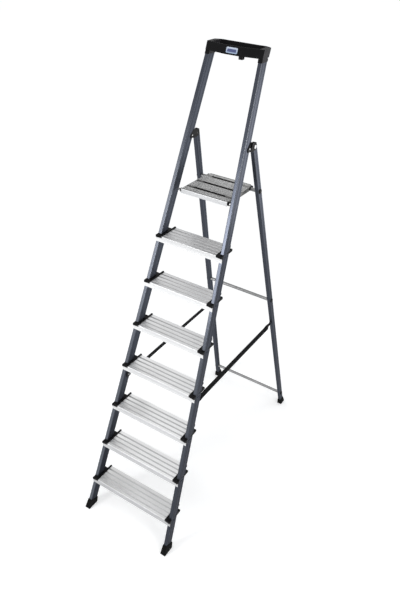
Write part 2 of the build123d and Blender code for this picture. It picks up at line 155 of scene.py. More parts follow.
def makeLamps():
    for name, place, aim, size, watts in studio["lamps"]:
        data = bpy.data.lights.new(name, "AREA")
        data.shape = "RECTANGLE"
        data.size, data.size_y = size
        data.energy = watts
        lamp = bpy.data.objects.new(name, data)
        lamp.location = place
        lamp.rotation_euler = (Vector(aim) - Vector(place)).to_track_quat("-Z", "Y").to_euler()
        scene.collection.objects.link(lamp)


def makeFloor():
    half = studio["floorSize"] / 2
    low = studio["floorLevel"]
    mesh = bpy.data.meshes.new("studioFloor")
    corners = [(-half, -half, low), (half, -half, low), (half, half, low), (-half, half, low)]
    mesh.from_pydata(corners, [], [(0, 1, 2, 3)])
    floor = bpy.data.objects.new("studioFloor", mesh)
    scene.collection.objects.link(floor)
    paper = bpy.data.materials.new("floorPaper")
    paper.use_nodes = True
    tree = paper.node_tree
    tree.nodes.clear()
    out = tree.nodes.new("ShaderNodeOutputMaterial")
    matt = tree.nodes.new("ShaderNodeBsdfDiffuse")
    matt.inputs["Color"].default_value = (*studio["floorColour"], 1.0)
    glow = tree.nodes.new("ShaderNodeEmission")
    where = tree.nodes.new("ShaderNodeTexCoord")
    away = tree.nodes.new("ShaderNodeVectorMath")
    away.operation = "LENGTH"
    reach = tree.nodes.new("ShaderNodeMapRange")
    reach.interpolation_type = "SMOOTHSTEP"
    for socket, value in zip(rangeSockets, studio["floorReach"] + studio["floorLift"]):
        reach.inputs[socket].default_value = value
    lift = tree.nodes.new("ShaderNodeMath")
    lift.operation = "MULTIPLY"
    both = tree.nodes.new("ShaderNodeAddShader")
    tree.links.new(where.outputs["Object"], away.inputs[0])
    tree.links.new(away.outputs["Value"], reach.inputs["Value"])
    tree.links.new(seenShare(tree), lift.inputs[0])
    tree.links.new(reach.outputs["Result"], lift.inputs[1])
    tree.links.new(lift.outputs[0], glow.inputs["Strength"])
    tree.links.new(matt.outputs[0], both.inputs[0])
    tree.links.new(glow.outputs[0], both.inputs[1])
    tree.links.new(both.outputs[0], out.inputs["Surface"])
    mesh.materials.append(paper)


makeWorld()
makeLamps()
makeFloor()
print("camera and studio set")


# material helpers
def startMaterial(name, **values):
    material = bpy.data.materials.new(name)
    material.use_nodes = True
    shader = material.node_tree.nodes["Principled BSDF"]
    for socket, value in values.items():
        shader.inputs[socket.replace("_", " ")].default_value = value
    return material, material.node_tree, shader


def placed(tree, scale, turn=(0.0, 0.0, 0.0), source="Object"):
    # a pattern's own coordinates: turned back onto its axes, then scaled
    where = tree.nodes.new("ShaderNodeTexCoord")
    mapping = tree.nodes.new("ShaderNodeMapping")
    mapping.vector_type = "TEXTURE"
    mapping.inputs["Rotation"].default_value = turn
    mapping.inputs["Scale"].default_value = [1.0 / number for number in scale]
    tree.links.new(where.outputs[source], mapping.inputs["Vector"])
    return mapping.outputs["Vector"]


def noise(tree, vector, detail, rough=0.55):
    node = tree.nodes.new("ShaderNodeTexNoise")
    node.inputs["Scale"].default_value = 1.0  # the coordinates are scaled already
    node.inputs["Detail"].default_value = detail
    node.inputs["Roughness"].default_value = rough
    tree.links.new(vector, node.inputs["Vector"])
    return node.outputs["Fac"]


def ranged(tree, value, fromLow, fromHigh, toLow=0.0, toHigh=1.0):
    node = tree.nodes.new("ShaderNodeMapRange")
    for socket, number in zip(rangeSockets, (fromLow, fromHigh, toLow, toHigh)):
        node.inputs[socket].default_value = number
    tree.links.new(value, node.inputs["Value"])
    return node.outputs["Result"]


def sums(tree, operation, first, second=None):
    node = tree.nodes.new("ShaderNodeMath")
    node.operation = operation
    for socket, value in zip(node.inputs, (first, second)):
        if value is None:
            continue
        if isinstance(value, (int, float)):
            socket.default_value = value
        else:
            tree.links.new(value, socket)
    return node.outputs[0]


def blended(tree, share, first, second):
    # colour between two, each a plain colour or a socket
    node = tree.nodes.new("ShaderNodeMix")
    node.data_type = "RGBA"
    tree.links.new(share, node.inputs["Factor"])
    for socket, value in ((node.inputs[6], first), (node.inputs[7], second)):
        if isinstance(value, tuple):
            socket.default_value = (*value, 1.0)
        else:
            tree.links.new(value, socket)
    return node.outputs[2]


def bumped(tree, shader, height, strength, distance):
    node = tree.nodes.new("ShaderNodeBump")
    node.inputs["Strength"].default_value = strength
    node.inputs["Distance"].default_value = distance
    tree.links.new(height, node.inputs["Height"])
    tree.links.new(node.outputs["Normal"], shader.inputs["Normal"])


def facing(tree, direction):
    # how far a face looks that way, in the part's own directions
    where = tree.nodes.new("ShaderNodeTexCoord")
    node = tree.nodes.new("ShaderNodeVectorMath")
    node.operation = "DOT_PRODUCT"
    tree.links.new(where.outputs["Normal"], node.inputs[0])
    node.inputs[1].default_value = Vector(direction).normalized()
    return node.outputs["Value"]


def spot(tree, axis):
    # one of the part's own coordinates
    split = tree.nodes.new("ShaderNodeSeparateXYZ")
    tree.links.new(placed(tree, (1.0, 1.0, 1.0)), split.inputs[0])
    return split.outputs[axis]


def turnToAxis(axis):
    # rotation that lays the pattern's own z on a beam's run
    return Vector((0.0, 0.0, 1.0)).rotation_difference(Vector(axis).normalized()).to_euler()


# where most of a noise texture's values lie, and nearly all of them
noiseCore = (0.3, 0.7)
noiseSpan = (0.25, 0.75)

# drawn and anodised tube: fine lines along the beam, faint rubbed patches
tubeFinish = {
    "dark": (0.044, 0.05, 0.064),
    "light": (0.058, 0.064, 0.081),
    "rubbed": (0.085, 0.092, 0.112),
    # painted shade: darker towards the bottom of the stiles
    "paintedShadeLow": (0.028, 0.031, 0.04),
    # painted highlight: a paler tint in place of the lamp's glint on the stiles' front faces
    "paintedGlint": (0.137, 0.148, 0.172),
    "metal": 0.88,
    "stileRough": (0.22, 0.32),
    "legRough": (0.3, 0.42),
    # faces towards the middle of the ladder: painted light, a paler tint, and less glossy
    "inside": (0.078, 0.087, 0.109),
    "insideFaces": (-0.5, -0.9),
    "insideFrom": (0.5, 1.3),
    "insideMatt": 0.3,
    "rim": (0.6, 0.6, 0.62, 1.0),  # holds back the shine at low angles
    # outer corners above the platform: painted highlight, a pale tint in place of the corners'
    # glint
    "corner": (0.18, 0.19, 0.21),
    "cornerFrom": (0.25, 0.55),
    "cornerTo": (0.97, 0.85),
    "cornerGlintFrom": (1.7, 2.05),
    "zoneFaces": (0.5, 0.9),  # how squarely a face looks the zone's way
    # patterns: two ways across the beam, then along it
    "lines": (520.0, 520.0, 5.0),
    "patches": (34.0, 34.0, 2.4),
    "rubs": (60.0, 60.0, 9.0),
    "rubsAt": (0.6, 0.74, 0.0, 0.55),
    "relief": (0.18, 0.0002),
}


def makeTubeFinish(name, axis, rough, zones=()):
    look = tubeFinish
    material, tree, shader = startMaterial(name, Metallic=look["metal"], Specular_Tint=look["rim"])
    turn = turnToAxis(axis)
    height = spot(tree, "Z")
    lines = noise(tree, placed(tree, look["lines"], turn), detail=4.0)
    broad = noise(tree, placed(tree, look["patches"], turn), detail=2.0)
    rubs = noise(tree, placed(tree, look["rubs"], turn), detail=5.0, rough=0.7)
    tone = blended(tree, ranged(tree, lines, *noiseCore), look["dark"], look["light"])
    worn = sums(tree, "MULTIPLY", ranged(tree, rubs, *look["rubsAt"]), broad)
    colour = blended(tree, worn, tone, look["rubbed"])
    for tint, begin, full, most, side in zones:
        share = ranged(tree, height, begin, full, 0.0, most)
        if side:
            faces = ranged(tree, facing(tree, side), *look["zoneFaces"])
            share = sums(tree, "MULTIPLY", share, faces)
        colour = blended(tree, share, colour, look[tint])
    outward = facing(tree, (-math.copysign(1.0, axis[0]), 0.0, 0.0))
    # painted light: faces towards the middle of the ladder given a paler tint
    inside = sums(tree, "MULTIPLY", ranged(tree, outward, *look["insideFaces"]),
                  ranged(tree, height, *look["insideFrom"]))
    colour = blended(tree, inside, colour, look["inside"])
    # painted highlight along the outer corners above the platform
    corner = sums(tree, "MINIMUM", ranged(tree, outward, *look["cornerFrom"]),
                  ranged(tree, outward, *look["cornerTo"]))
    cornerGlint = sums(tree, "MULTIPLY", corner, ranged(tree, height, *look["cornerGlintFrom"]))
    tree.links.new(blended(tree, cornerGlint, colour, look["corner"]), shader.inputs["Base Color"])
    matt = ranged(tree, outward, *look["insideFaces"], 0.0, look["insideMatt"])
    satin = sums(tree, "ADD", ranged(tree, broad, *noiseSpan, *rough), matt)
    tree.links.new(satin, shader.inputs["Roughness"])
    bumped(tree, shader, lines, *look["relief"])
    return material


# run of each beam, roughness, and zones: tint, heights where it begins and is full, share, faces
beams = {
    "right_stile": (ladder["stileRun"], "stileRough", [
        # painted highlight on the front faces at mid height
        ("paintedGlint", 1.6, 1.1, 0.4, ladder["stileFront"]),
        # painted shade, darker towards the bottom
        ("paintedShadeLow", 1.0, 0.4, 0.7, None),
    ]),
    "left_stile": (flipped(ladder["stileRun"]), "stileRough", [
        # painted shade, darker towards the bottom
        ("paintedShadeLow", 1.0, 0.4, 0.7, None),
        # painted highlight on the front faces near the top
        ("paintedGlint", 2.3, 1.95, 0.6, ladder["stileFront"]),
    ]),
    "right_rear_leg": (ladder["legRun"], "legRough", []),
    "left_rear_leg": (flipped(ladder["legRun"]), "legRough", []),
}
finishOf = {}
for beam, (run, rough, zones) in beams.items():
    finishOf[beam] = makeTubeFinish(beam + "Finish", run, tubeFinish[rough], zones)
rivetFinish = makeTubeFinish("flatRivetFinish", (1.0, 0.0, 0.0), tubeFinish["stileRough"])


# natural extruded aluminium: long lines across the ladder, fronts with a tone of their own
extrusion = {
    "rough": (0.34, 0.5),
    "rim": (1.0, 1.0, 1.0, 1.0),
    "zones": [],
    "frontShadeZones": [],
    "lines": (4.0, 620.0, 620.0),
    "patches": (5.0, 26.0, 26.0),
    "specks": (210.0, 210.0, 210.0),
    "specksAt": (0.66, 0.8, 0.0, 0.35),
    "frontFaces": (0.4, 0.75),
    "relief": 0.2,
    "reliefDepth": 0.00025,
}
extrusionFinish = {
    "treadFinish": {
        "dark": (0.86, 0.862, 0.868),
        "light": (0.96, 0.962, 0.966),
        "metal": 0.85,
        # painted shade, darker on the top treads and on the lowest: axis, where it begins and is
        # full, tone
        "zones": [("Z", 0.8, 1.62, (0.62, 0.622, 0.63)), ("Z", 0.42, 0.2, (0.74, 0.742, 0.745))],
        "front": (0.75, 0.752, 0.758),
        # painted shade: fronts darker towards the floor and on the top tread
        "frontShadeZones": [(1.35, 0.2, (0.48, 0.482, 0.488)), (1.42, 1.62, (0.64, 0.642, 0.648))],
        # painted reflection of the floor, paler along the lower edge: depth below a tread's top,
        # then heights and shares
        "paintedReflection": (0.86, 0.862, 0.866),
        "lowerEdge": (0.008, 0.033),
        "paintedReflectionFrom": (0.2, 0.9, 0.1, 0.75),
        # whole rises above the first tread, so that the remainder is a depth
        "aboveTreads": ladder["firstTread"] + 9 * ladder["treadRise"],
    },
    # darker than the tread tops: partly dirt in the valleys, partly painted shade of the valleys
    "serrationFinish": {"dark": (0.4, 0.4, 0.404), "light": (0.52, 0.52, 0.524), "metal": 0.75},
    "deckFinish": {
        "dark": (0.22, 0.219, 0.216),
        "light": (0.31, 0.309, 0.305),
        "metal": 0.8,
        "rim": (0.5, 0.5, 0.5, 1.0),
        "zones": [("Y", 0.19, -0.05, (0.1, 0.0995, 0.097))],
        "front": (0.58, 0.585, 0.595),
        "relief": 0.06,
    },
    "braceFinish": {"dark": (0.2, 0.2, 0.203), "light": (0.3, 0.3, 0.303), "metal": 0.85},
}


def makeExtrusionFinish(name):
    look = {**extrusion, **extrusionFinish[name]}
    material, tree, shader = startMaterial(name, Metallic=look["metal"], Specular_Tint=look["rim"])
    lines = noise(tree, placed(tree, look["lines"]), detail=4.0)
    broad = noise(tree, placed(tree, look["patches"]), detail=3.0)
    specks = noise(tree, placed(tree, look["specks"]), detail=2.0)
    tone = blended(tree, ranged(tree, lines, *noiseCore), look["dark"], look["light"])
    colour = blended(tree, ranged(tree, specks, *look["specksAt"]), tone, look["dark"])
    # tone towards an end: painted shade on the treads, darker towards the front on the deck
    for axis, begin, full, tint in look["zones"]:
        colour = blended(tree, ranged(tree, spot(tree, axis), begin, full), colour, tint)
    if "front" in look:
        front = look["front"]
        height = spot(tree, "Z")
        # painted shade on the tread fronts, by height
        for begin, full, tint in look["frontShadeZones"]:
            front = blended(tree, ranged(tree, height, begin, full), front, tint)
        # painted reflection: fronts paler along their lower edge
        if "paintedReflection" in look:
            below = sums(tree, "SUBTRACT", look["aboveTreads"], height)
            depth = sums(tree, "MODULO", below, ladder["treadRise"])
            lower = ranged(tree, depth, *look["lowerEdge"])
            share = sums(tree, "MULTIPLY", lower, ranged(tree, height, *look["paintedReflectionFrom"]))
            front = blended(tree, share, front, look["paintedReflection"])
        ahead = ranged(tree, facing(tree, (0.0, -1.0, 0.0)), *look["frontFaces"])
        colour = blended(tree, ahead, colour, front)
    tree.links.new(colour, shader.inputs["Base Color"])
    tree.links.new(ranged(tree, broad, *noiseSpan, *look["rough"]), shader.inputs["Roughness"])
    bumped(tree, shader, lines, look["relief"], look["reliefDepth"])
    return material


treadFinish = makeExtrusionFinish("treadFinish")
serrationFinish = makeExtrusionFinish("serrationFinish")
deckFinish = makeExtrusionFinish("deckFinish")
braceFinish = makeExtrusionFinish("braceFinish")


# zinc plated steel: cloudy, faintly mottled
zinc = {
    "dark": (0.42, 0.42, 0.43),
    "light": (0.66, 0.66, 0.66),
    "metal": 0.95,
    "clouds": (150.0, 150.0, 150.0),
    "fine": (900.0, 900.0, 900.0),
    "rough": (0.22, 0.38),
    "relief": (0.12, 0.0002),
    # tint, and how far from the ladder's middle it begins and is full
    # painted shade: the hinge pins' inner ends made near black
    "innerShade": ((0.012, 0.012, 0.013), 0.17, 0.16),  # inner ends of the hinge pins
    "anodised": ((0.052, 0.058, 0.073), 0.166, 0.169),  # ends of the platform's rod, in the stiles
}


def makeZincFinish(name, ends=None):
    look = zinc
    material, tree, shader = startMaterial(name, Metallic=look["metal"])
    clouds = noise(tree, placed(tree, look["clouds"]), detail=4.0)
    fine = noise(tree, placed(tree, look["fine"]), detail=2.0)
    colour = blended(tree, clouds, look["dark"], look["light"])
    if ends:
        tint, begin, full = look[ends]
        away = sums(tree, "ABSOLUTE", spot(tree, "X"))
        colour = blended(tree, ranged(tree, away, begin, full), colour, tint)
    tree.links.new(colour, shader.inputs["Base Color"])
    tree.links.new(ranged(tree, clouds, *noiseCore, *look["rough"]), shader.inputs["Roughness"])
    bumped(tree, shader, fine, *look["relief"])
    return material


zincFinish = makeZincFinish("zincFinish")
finishOf["hinge_pins"] = makeZincFinish("pinFinish", "innerShade")
finishOf["platform_pivot_rod"] = makeZincFinish("rodFinish", "anodised")


# moulded black plastic and rubber, coated plates: fine grain, faint grey scuffs
moulding = {
    "clouds": (45.0, 45.0, 45.0),
    "scuffsAt": (0.58, 0.76, 0.0, 0.7),
    "paintedSheenFaces": (0.6, 0.95),
    "grainStrength": 0.35,
}
mouldingFinish = {
    "plasticFinish": {
        "dark": (0.0042, 0.0042, 0.0047),
        "scuff": (0.016, 0.016, 0.018),
        "rough": (0.42, 0.58),
        "gloss": 0.085,
        "grain": 950.0,
        "depth": 0.00022,
    },
    "trayFinish": {
        "dark": (0.0038, 0.0038, 0.0043),
        "scuff": (0.014, 0.014, 0.016),
        "rough": (0.42, 0.58),
        "gloss": 0.08,
        "grain": 950.0,
        "depth": 0.00022,
        "ends": (0.036, 0.035, 0.038),  # painted sheen: end faces paler, in place of light from the side
    },
    "rubberFinish": {
        "dark": (0.0048, 0.0048, 0.005),
        "scuff": (0.03, 0.029, 0.027),
        "rough": (0.72, 0.9),
        "gloss": 0.08,
        "grain": 600.0,
        "depth": 0.0003,
    },
    "coatedFinish": {
        "dark": (0.006, 0.006, 0.0065),
        "scuff": (0.05, 0.05, 0.052),
        "rough": (0.36, 0.52),
        "gloss": 0.16,
        "grain": 1300.0,
        "depth": 0.0001,
    },
}


def makeMoulding(name):
    look = {**moulding, **mouldingFinish[name]}
    material, tree, shader = startMaterial(name, Specular_IOR_Level=look["gloss"])
    grain = noise(tree, placed(tree, (look["grain"],) * 3), detail=2.0)
    clouds = noise(tree, placed(tree, look["clouds"]), detail=5.0, rough=0.7)
    colour = blended(tree, ranged(tree, clouds, *look["scuffsAt"]), look["dark"], look["scuff"])
    # painted sheen on the tray's end faces
    if "ends" in look:
        sideways = sums(tree, "ABSOLUTE", facing(tree, (1.0, 0.0, 0.0)))
        colour = blended(tree, ranged(tree, sideways, *look["paintedSheenFaces"]), colour, look["ends"])
    tree.links.new(colour, shader.inputs["Base Color"])
    tree.links.new(ranged(tree, clouds, *noiseCore, *look["rough"]), shader.inputs["Roughness"])
    bumped(tree, shader, grain, look["grainStrength"], look["depth"])
    return material


plasticFinish = makeMoulding("plasticFinish")
finishOf["tool_tray"] = makeMoulding("trayFinish")
rubberFinish = makeMoulding("rubberFinish")
coatedFinish = makeMoulding("coatedFinish")


# herringbone webbing, on the strap's own map: u across, v along, both in strap widths
weave = {
    "dark": (0.0042, 0.0042, 0.0046),
    "light": (0.016, 0.016, 0.017),
    "rough": 0.88,
    "gloss": 0.15,
    "ribs": 5.0,
    "picks": 13.0,
    "slant": 2.0,
    "groove": (0.0, 0.08),
    "fuzz": (1400.0, 1400.0, 1400.0),
    "fuzzShade": (0.55, 1.0),
    "relief": (0.7, 0.0005),
}


def makeWebbingFinish():
    look = weave
    material, tree, shader = startMaterial("webbingFinish", Roughness=look["rough"],
                                           Specular_IOR_Level=look["gloss"])
    split = tree.nodes.new("ShaderNodeSeparateXYZ")
    tree.links.new(placed(tree, (1.0, 1.0, 1.0), source="UV"), split.inputs[0])
    across = sums(tree, "PINGPONG", sums(tree, "MULTIPLY", split.outputs["X"], look["ribs"]), 0.5)
    along = sums(tree, "MULTIPLY", split.outputs["Y"], look["picks"])
    slant = sums(tree, "ADD", along, sums(tree, "MULTIPLY", across, look["slant"]))
    yarn = sums(tree, "SINE", sums(tree, "MULTIPLY", slant, 2.0 * math.pi))
    groove = ranged(tree, across, *look["groove"])
    height = sums(tree, "MULTIPLY", ranged(tree, yarn, -1.0, 1.0), groove)
    fuzz = noise(tree, placed(tree, look["fuzz"]), detail=2.0)
    # painted shade: grooves between the yarns darker, yarn tops paler
    shade = sums(tree, "MULTIPLY", height, ranged(tree, fuzz, *noiseCore, *look["fuzzShade"]))
    tree.links.new(blended(tree, shade, look["dark"], look["light"]), shader.inputs["Base Color"])
    bumped(tree, shader, height, *look["relief"])
    return material


webbingFinish = makeWebbingFinish()


# label film without words: pale field, one plain blue bar
label = {
    "middle": (0.0, 0.125438, 2.494),  # of the tray's leaning front panel
    "lean": math.radians(20.06),
    "size": (0.059, 0.026),
    "corner": 0.005,
    "cornerSteps": 6,
    "thickness": 0.0009,
    "edgeRound": 0.00025,
    "rough": 0.34,
    "coat": 0.3,
    "coatRough": 0.2,
    "field": (0.27, 0.36, 0.5),
    "edge": (0.5, 0.56, 0.66),
    "bar": (0.03, 0.045, 0.15),
    "barHalf": (0.0235, 0.0068),
    "barDrop": 0.0012,
    "barSoft": 0.0012,
    "specks": (420.0, 420.0, 420.0),
    "inkAt": (0.2, 0.6, 0.9, 1.0),
    "relief": (0.05, 0.0001),
}


def makeLabelFinish():
    look = label
    material, tree, shader = startMaterial(
        "labelFinish", Roughness=look["rough"], Coat_Weight=look["coat"],
        Coat_Roughness=look["coatRough"])
    split = tree.nodes.new("ShaderNodeSeparateXYZ")
    tree.links.new(placed(tree, (1.0, 1.0, 1.0), source="UV"), split.inputs[0])
    wide = sums(tree, "ABSOLUTE", split.outputs["X"])
    tall = sums(tree, "ABSOLUTE", sums(tree, "ADD", split.outputs["Y"], look["barDrop"]))
    halfWide, halfTall = look["barHalf"]
    soft = look["barSoft"]
    bar = sums(tree, "MULTIPLY", ranged(tree, wide, halfWide + soft, halfWide - soft),
               ranged(tree, tall, halfTall + soft, halfTall - soft))
    fade = ranged(tree, split.outputs["Y"], -look["size"][1] / 2, look["size"][1] / 2)
    specks = noise(tree, placed(tree, look["specks"]), detail=3.0)
    paper = blended(tree, fade, look["field"], look["edge"])
    ink = sums(tree, "MULTIPLY", bar, ranged(tree, specks, *look["inkAt"]))
    tree.links.new(blended(tree, ink, paper, look["bar"]), shader.inputs["Base Color"])
    bumped(tree, shader, specks, *look["relief"])
    return material


labelFinish = makeLabelFinish()

bySlot = {
    "frame_aluminium": rivetFinish,
    "tread_aluminium": treadFinish,
    "platform_aluminium": deckFinish,
    "brace_aluminium": braceFinish,
    "bright_steel": zincFinish,
    "black_steel": coatedFinish,
    "black_plastic": plasticFinish,
    "black_rubber": rubberFinish,
    "strap_webbing": webbingFinish,
    "label_film": labelFinish,
}
slotOf = {entry["node"]: entry["material_slot"] for entry in record["subparts"]}
for name, node in nodes.items():
    node.data.materials.clear()
    node.data.materials.append(finishOf.get(name, bySlot[slotOf[name]]))
print("materials on", len(nodes), "nodes")


# geometry node helpers
def startTree(name, **inputs):
    tree = bpy.data.node_groups.new(name, "GeometryNodeTree")
    tree.is_modifier = True
    tree.interface.new_socket("Geometry", in_out="INPUT", socket_type="NodeSocketGeometry")
    tree.interface.new_socket("Geometry", in_out="OUTPUT", socket_type="NodeSocketGeometry")
    for title, kind in inputs.items():
        shown = title.replace("_", " ")
        tree.interface.new_socket(shown, in_out="INPUT", socket_type="NodeSocket" + kind)
    start = tree.nodes.new("NodeGroupInput")
    end = tree.nodes.new("NodeGroupOutput")
    return tree, start, end


def add(tree, kind, sockets=None, **settings):
    node = tree.nodes.new(kind)
    for key, value in settings.items():
        setattr(node, key, value)
    for socket, value in (sockets or {}).items():
        if hasattr(value, "is_output"):
            tree.links.new(value, node.inputs[socket])
        else:
            node.inputs[socket].default_value = value
    return node


def product(tree, first, second):
    return add(tree, "ShaderNodeMath", {0: first, 1: second}, operation="MULTIPLY").outputs[0]


def closeTree(tree, end, geometry, material):
    solid = add(tree, "GeometryNodeRealizeInstances", {"Geometry": geometry})
    dressed = add(tree, "GeometryNodeSetMaterial", {
        "Geometry": solid.outputs["Geometry"], "Material": material})
    tree.links.new(dressed.outputs["Geometry"], end.inputs["Geometry"])


def runTree(tree, base, values):
    # evaluates the tree on a base object and gives the plain mesh
    scene.collection.objects.link(base)
    modifier = base.modifiers.new(tree.name, "NODES")
    modifier.node_group = tree
    for item in tree.interface.items_tree:
        if item.in_out == "INPUT" and item.name in values:
            modifier[item.identifier] = values[item.name]
    graph = bpy.context.evaluated_depsgraph_get()
    mesh = bpy.data.meshes.new_from_object(base.evaluated_get(graph), depsgraph=graph)
    base.modifiers.remove(modifier)
    bpy.data.objects.remove(base)
    return mesh


def pointsObject(name, places, **attributes):
    # loose points with one value each of the named attributes
    mesh = bpy.data.meshes.new(name)
    mesh.from_pydata(places, [], [])
    for key, values in attributes.items():
        vectors = not isinstance(values[0], float)
        layer = mesh.attributes.new(key, "FLOAT_VECTOR" if vectors else "FLOAT", "POINT")
        for item, value in zip(layer.data, values):
            if vectors:
                item.vector = value
            else:
                item.value = value
    return bpy.data.objects.new(name, mesh)


def addPiece(name, mesh, body):
    piece = bpy.data.objects.new(name, mesh)
    scene.collection.objects.link(piece)
    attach(piece, body)
    return piece


def joined(name, meshes):
    whole = bmesh.new()
    for mesh in meshes:
        whole.from_mesh(mesh)
    out = bpy.data.meshes.new(name)
    whole.to_mesh(out)
    whole.free()
    out.materials.append(meshes[0].materials[0])
    return out


# rows of small ridges across the ladder, in one or more bands
def makeRidgeTree():
    tree, start, end = startTree("ridgeRows", Material="Material", Rows="Int", Row_Pitch="Float",
                                 Bands="Int", Band_Pitch="Float", Ridge_Width="Float",
                                 Ridge_Height="Float")
    inputs = start.outputs
    # a prism of radius 1 is 1.5 high and sqrt(3) wide, and its middle lies a third up
    prism = add(tree, "GeometryNodeMeshCylinder", {"Vertices": 3, "Radius": 1.0, "Depth": 2.0})
    size = add(tree, "ShaderNodeCombineXYZ", {
        "X": product(tree, inputs["Ridge Height"], 1 / 1.5),
        "Y": product(tree, inputs["Ridge Width"], 1 / math.sqrt(3)),
        "Z": 1.0,
    })
    lift = add(tree, "ShaderNodeCombineXYZ", {"Z": product(tree, inputs["Ridge Height"], 1 / 3)})
    ridge = add(tree, "GeometryNodeTransform", {
        "Geometry": prism.outputs["Mesh"], "Translation": lift.outputs[0],
        "Rotation": Euler((0.0, -math.pi / 2, 0.0)), "Scale": size.outputs[0],
    })
    rowStep = add(tree, "ShaderNodeCombineXYZ", {"Y": inputs["Row Pitch"]})
    rows = add(tree, "GeometryNodeMeshLine", {
        "Count": inputs["Rows"], "Offset": rowStep.outputs[0]})
    band = add(tree, "GeometryNodeInstanceOnPoints", {
        "Points": rows.outputs[0], "Instance": ridge.outputs[0]})
    bandStep = add(tree, "ShaderNodeCombineXYZ", {"Y": inputs["Band Pitch"]})
    bands = add(tree, "GeometryNodeMeshLine", {
        "Count": inputs["Bands"], "Offset": bandStep.outputs[0]})
    field = add(tree, "GeometryNodeInstanceOnPoints", {
        "Points": bands.outputs[0], "Instance": band.outputs[0]})
    span = add(tree, "GeometryNodeInputNamedAttribute", {"Name": "span"}, data_type="FLOAT")
    stretch = add(tree, "ShaderNodeCombineXYZ", {"X": span.outputs[0], "Y": 1.0, "Z": 1.0})
    spread = add(tree, "GeometryNodeInstanceOnPoints", {
        "Points": inputs["Geometry"], "Instance": field.outputs[0], "Scale": stretch.outputs[0]})
    closeTree(tree, end, spread.outputs[0], inputs["Material"])
    return tree


ridgeTree = makeRidgeTree()


def runRidges(base, finish, look, rows, bands=1, bandPitch=0.0):
    return runTree(ridgeTree, base, {
        "Material": finish, "Rows": rows, "Row Pitch": look["rowPitch"], "Bands": bands,
        "Band Pitch": bandPitch, "Ridge Width": look["width"], "Ridge Height": look["height"],
    })


# serrated valleys of the treads
serration = {
    "treadFront": 0.045,  # ahead of the stile's middle
    "firstValley": 0.021,  # its middle, behind the tread's front
    "treadGap": 0.025,  # from the tread's end to the stile's middle
    "endGap": 0.0004,
    "valleyDepth": 0.0015,
    "rows": 5,
    "rowPitch": 0.0018,
    "bands": 4,
    "bandPitch": 0.0275,
    "width": 0.00178,
    "height": 0.00065,
}


def stileAt(height):
    # middle of the right stile
    return Vector(ladder["stileFoot"]) + Vector([run * height for run in ladder["stileRun"]])


def treadLevels():
    steps = range(ladder["treadCount"])
    return [ladder["firstTread"] + ladder["treadRise"] * step for step in steps]


def makeSerrations():
    look = serration
    places = []
    spans = []
    back = (look["rows"] - 1) / 2 * look["rowPitch"]
    for level in treadLevels():
        middle = stileAt(level)
        valley = middle.y - look["treadFront"] + look["firstValley"]
        places.append((0.0, valley - back, level - look["valleyDepth"]))
        spans.append(middle.x - look["treadGap"] - look["endGap"])
    base = pointsObject("treadMiddles", places, span=spans)
    return runRidges(base, serrationFinish, look, look["rows"], look["bands"], look["bandPitch"])


addPiece("tread_serrations", makeSerrations(), "front_frame")
print("tread serrations made")

# low ribs of the platform's deck, between the rubber strips, and ridges on the strips
deckRibs = {
    "top": 1.85,
    "front": -0.059,
    "rowPitch": 0.0045,
    "width": 0.0016,
    "height": 0.0004,
    # first rib behind the front edge, number of ribs, half length
    "zones": [(0.0085, 8, 0.1335), (0.065, 15, 0.1335), (0.1535, 15, 0.1335), (0.241, 4, 0.1215)],
}
stripRidges = {
    "firstRow": 0.0525,
    "bands": 3,
    "bandPitch": 0.0885,
    "rows": 4,
    "rowPitch": 0.003,
    "span": 0.0924,
    "top": 1.8504,
    "width": 0.0022,
    "height": 0.0005,
}


def makeDeckRibs():
    look = deckRibs
    meshes = []
    for first, rows, half in look["zones"]:
        base = pointsObject("deckZone", [(0.0, look["front"] + first, look["top"])], span=[half])
        meshes.append(runRidges(base, deckFinish, look, rows))
    return joined("deckRibs", meshes)


def makeStripRidges():
    look = stripRidges
    back = (look["rows"] - 1) / 2 * look["rowPitch"]
    place = (0.0, deckRibs["front"] + look["firstRow"] - back, look["top"])
    base = pointsObject("stripRow", [place], span=[look["span"]])
    return runRidges(base, rubberFinish, look, look["rows"], look["bands"], look["bandPitch"])


addPiece("deck_ribs", makeDeckRibs(), "platform")
addPiece("strip_ridges", makeStripRidges(), "platform")
print("platform ribs and strip ridges made")


# raised collar on every rivet, screw and pin head
heads = {
    "collar": 0.0021,
    "collarSteps": 16,
    "bead": 0.0004,
    "beadSteps": 5,
    "stileHalf": 0.01025,
    "treadDrop": 0.017,
    "treadRow": 0.006,  # to each side of the stile's middle
    "flatHead": 0.001,
    "domeHead": 0.0018,
    "bracketRivet": (0.174202, 0.051249, 2.091208),
    "hingePin": (0.178332, 0.098638, 2.091249),
    "pinHead": 0.0026,
    "pinGrow": 2.6,
    "screwHeight": 2.476,
    "screwDepth": 0.0286,
    "strapSeatFront": (0.214042, -0.416999, 0.838),
    "strapSeatRear": (0.210006, 0.485517, 0.844),
}


